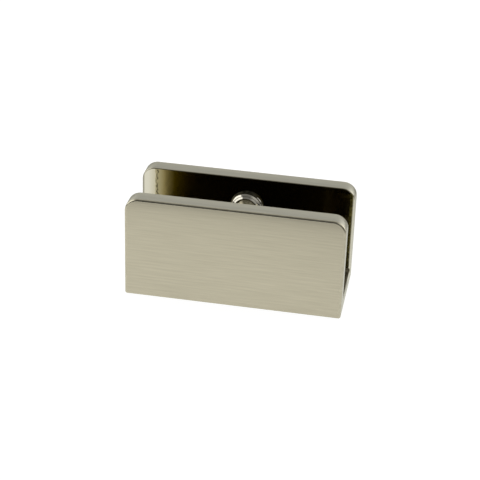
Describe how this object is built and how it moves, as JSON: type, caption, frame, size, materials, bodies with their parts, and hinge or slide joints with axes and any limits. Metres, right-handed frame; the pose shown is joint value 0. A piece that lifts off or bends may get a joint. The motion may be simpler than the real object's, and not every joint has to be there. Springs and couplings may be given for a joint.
{
  "type": "glass panel clamp",
  "caption": "U-channel glass panel clamp in brushed metal with rounded top corners, a padded set screw through the back plate and countersunk wall-screw holes in the web.",
  "frame": {"origin": "centre of the base face that lies on the wall, floor or post", "axes": "+X along the clamp's length, +Y from the plain front plate to the back plate with the set screw, +Z out of the base towards the glass"},
  "size_m": [0.051, 0.0212, 0.025],
  "materials": {
    "brushed_nickel": "satin",
    "screw_steel": "satin",
    "pad_nylon": "matte"
  },
  "bodies": {
    "clamp_body": {"clamp_body": "brushed_nickel"},
    "tip_pad": {"tip_pad": "pad_nylon"},
    "set_screw": {"set_screw": "screw_steel"}
  },
  "joints": [
    {"name": "screw_travel", "type": "slide", "parent": "clamp_body", "child": "tip_pad", "axis": [0, -1, 0], "range_m": [-0.0021, 0.0018]},
    {"name": "screw_turn", "type": "hinge", "parent": "tip_pad", "child": "set_screw", "pos_m": [0, 0.0045, 0.0176], "axis": [0, -1, 0], "range_deg": [-605, 519]}
  ],
  "couplings": [
    {"joint": "screw_turn", "follows": "screw_travel", "rad_per_m": 5026.5}
  ]
}
